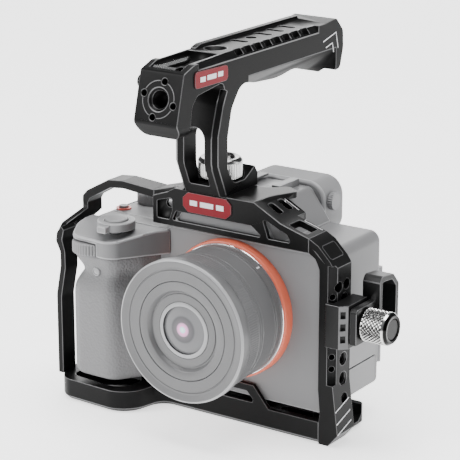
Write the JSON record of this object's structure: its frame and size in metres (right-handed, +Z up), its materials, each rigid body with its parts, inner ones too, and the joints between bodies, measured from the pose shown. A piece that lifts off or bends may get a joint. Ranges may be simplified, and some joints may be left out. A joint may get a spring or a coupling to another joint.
{
  "type": "caged camera rig",
  "caption": "Mirrorless camera in a machined metal cage with a carrying handle on top, a cable clamp at the side and a short lens with zoom and focus rings.",
  "frame": {"origin": "on the cage's flat underside, straight below the lens axis and at mid depth of the cage base", "axes": "+X to the port side of the camera, +Y to its rear, +Z up; the lens looks along -Y"},
  "size_m": [0.1675, 0.1387, 0.1738],
  "materials": {
    "cage_metal": "black anodised, fine bead-blasted satin",
    "handle_metal": "black anodised satin",
    "clamp_metal": "black anodised satin",
    "steel": "polished stainless steel, knurled on the knobs",
    "rubber": "matt moulded rubber",
    "eyecup_rubber": "pale grey matt rubber",
    "red_plaque": "red anodised satin",
    "grip_rubber": "pale grey, leather-grained rubber",
    "body_shell": "pale grey fine satin",
    "controls": "pale grey satin",
    "red_ring": "red satin",
    "monitor_case": "pale grey satin",
    "screen_glass": "dark gloss",
    "shoe_metal": "brushed",
    "battery_case": "matt black",
    "orange_ring": "orange anodised satin",
    "lens_body": "pale grey satin",
    "lens_rings": "pale grey satin, finely ribbed",
    "lens_glass": "coated glass"
  },
  "bodies": {
    "rig": {"cage_base": "cage_metal", "cage_side_plate": "cage_metal", "cage_top_plate": "cage_metal", "cage_grip_arm": "cage_metal", "handle_body": "handle_metal", "clamp_base": "clamp_metal", "tripod_screw": "steel", "handle_side_screw": "steel", "handle_pins": "steel", "rubber_pads": "rubber", "eyecup": "eyecup_rubber", "cage_plaque": "red_plaque", "handle_plaque": "red_plaque", "grip": "grip_rubber", "front_shell": "body_shell", "rear_shell": "body_shell", "viewfinder_hump": "body_shell", "grip_top": "body_shell", "record_ring": "red_ring", "monitor_hinge": "monitor_case", "eyepiece_lens": "screen_glass", "focus_lamp": "screen_glass", "hot_shoe": "shoe_metal", "battery": "battery_case", "image_sensor": "battery_case", "shutter_unit": "battery_case", "mount_ring": "orange_ring", "lens_barrel": "lens_body", "lens_rim": "lens_body", "lens_baffle": "lens_body", "front_element": "lens_glass", "rear_element": "lens_glass"},
    "knob": {"handle_knob": "steel"},
    "key": {"hex_key": "steel"},
    "slider": {"clamp_slider": "clamp_metal"},
    "clamp_screw": {"clamp_knob": "steel", "clamp_knob_cap": "clamp_metal"},
    "front_wheel": {"front_dial": "controls"},
    "shutter_release": {"shutter_button": "controls"},
    "power_switch": {"power_lever": "controls"},
    "record_key": {"record_button": "controls"},
    "custom_key": {"custom_button": "controls"},
    "mode_wheel": {"mode_dial": "controls"},
    "exposure_wheel": {"exposure_dial": "controls"},
    "menu_key": {"menu_button": "controls"},
    "focus_key": {"focus_button": "controls"},
    "review_key": {"review_button": "controls"},
    "rear_wheel": {"control_wheel": "controls"},
    "select_key": {"select_button": "controls"},
    "stick": {"joystick": "controls"},
    "monitor": {"monitor_panel": "monitor_case", "monitor_glass": "screen_glass"},
    "diopter_wheel": {"diopter_dial": "controls"},
    "card_cover": {"card_door": "controls"},
    "port_cover_1": {"port_door_1": "controls"},
    "port_cover_2": {"port_door_2": "controls"},
    "zoom": {"zoom_ring": "lens_rings"},
    "focus": {"focus_ring": "lens_rings"},
    "release_key": {"lens_release": "controls"}
  },
  "joints": [
    {"name": "knob_turn", "type": "hinge", "parent": "rig", "child": "knob", "pos_m": [-0.0135, -0.005, 0.117], "axis": [0, 0, 1], "continuous": true},
    {"name": "key_lift", "type": "slide", "parent": "rig", "child": "key", "axis": [0, 0, 1], "range_m": [0, 0.02]},
    {"name": "slider_travel", "type": "slide", "parent": "rig", "child": "slider", "axis": [1, 0, 0], "range_m": [0, 0.003]},
    {"name": "clamp_turn", "type": "hinge", "parent": "slider", "child": "clamp_screw", "pos_m": [0.07, -0.0086, 0.0582], "axis": [1, 0, 0], "range_deg": [0, 1260]},
    {"name": "front_wheel_turn", "type": "hinge", "parent": "rig", "child": "front_wheel", "pos_m": [-0.0665, -0.0325, 0.077], "axis": [0, 0, 1], "continuous": true},
    {"name": "power_turn", "type": "hinge", "parent": "rig", "child": "power_switch", "pos_m": [-0.056, -0.0275, 0.088], "axis": [0, 0, 1], "range_deg": [-18, 18]},
    {"name": "mode_turn", "type": "hinge", "parent": "rig", "child": "mode_wheel", "pos_m": [-0.0455, 0.011, 0.089], "axis": [0, 0, 1], "continuous": true},
    {"name": "exposure_turn", "type": "hinge", "parent": "rig", "child": "exposure_wheel", "pos_m": [-0.067, 0.016, 0.089], "axis": [0, 0, 1], "continuous": true},
    {"name": "rear_wheel_turn", "type": "hinge", "parent": "rig", "child": "rear_wheel", "pos_m": [-0.057, 0.032, 0.046], "axis": [0, 1, 0], "continuous": true},
    {"name": "monitor_swing", "type": "hinge", "parent": "rig", "child": "monitor", "pos_m": [0.048, 0.0336, 0.045], "axis": [0, 0, 1], "range_deg": [-175, 0]},
    {"name": "diopter_turn", "type": "hinge", "parent": "rig", "child": "diopter_wheel", "pos_m": [0.021, 0.037, 0.096], "axis": [1, 0, 0], "range_deg": [-120, 120]},
    {"name": "card_cover_swing", "type": "hinge", "parent": "rig", "child": "card_cover", "pos_m": [-0.0802, 0.0264, 0.041], "axis": [0, 0, 1], "range_deg": [-100, 0]},
    {"name": "port_cover_1_swing", "type": "hinge", "parent": "rig", "child": "port_cover_1", "pos_m": [0.05075, 0.0264, 0.023], "axis": [0, 0, 1], "range_deg": [0, 100]},
    {"name": "port_cover_2_swing", "type": "hinge", "parent": "rig", "child": "port_cover_2", "pos_m": [0.05075, 0.0264, 0.037], "axis": [0, 0, 1], "range_deg": [0, 100]},
    {"name": "zoom_turn", "type": "hinge", "parent": "rig", "child": "zoom", "pos_m": [0, -0.032, 0.055], "axis": [0, 1, 0], "range_deg": [-45, 30]},
    {"name": "focus_turn", "type": "hinge", "parent": "rig", "child": "focus", "pos_m": [0, -0.045, 0.055], "axis": [0, 1, 0], "continuous": true},
    {"name": "shutter_press", "type": "slide", "parent": "rig", "child": "shutter_release", "axis": [0, 0, -1], "range_m": [0, 0.0012], "stiffness_N_per_m": 400},
    {"name": "record_press", "type": "slide", "parent": "rig", "child": "record_key", "axis": [0, 0, -1], "range_m": [0, 0.0008], "stiffness_N_per_m": 400},
    {"name": "custom_press", "type": "slide", "parent": "rig", "child": "custom_key", "axis": [0, 0, -1], "range_m": [0, 0.0008], "stiffness_N_per_m": 400},
    {"name": "menu_press", "type": "slide", "parent": "rig", "child": "menu_key", "axis": [0, -1, 0], "range_m": [0, 0.0008], "stiffness_N_per_m": 400},
    {"name": "focus_press", "type": "slide", "parent": "rig", "child": "focus_key", "axis": [0, -1, 0], "range_m": [0, 0.0008], "stiffness_N_per_m": 400},
    {"name": "review_press", "type": "slide", "parent": "rig", "child": "review_key", "axis": [0, -1, 0], "range_m": [0, 0.0008], "stiffness_N_per_m": 400},
    {"name": "select_press", "type": "slide", "parent": "rig", "child": "select_key", "axis": [0, -1, 0], "range_m": [0, 0.0008], "stiffness_N_per_m": 400},
    {"name": "stick_press", "type": "slide", "parent": "rig", "child": "stick", "axis": [0, -1, 0], "range_m": [0, 0.0008], "stiffness_N_per_m": 400},
    {"name": "release_press", "type": "slide", "parent": "rig", "child": "release_key", "axis": [0, 1, 0], "range_m": [0, 0.002], "stiffness_N_per_m": 400}
  ],
  "couplings": [
    {"joint": "clamp_turn", "follows": "slider_travel", "rad_per_m": 6283.2}
  ]
}
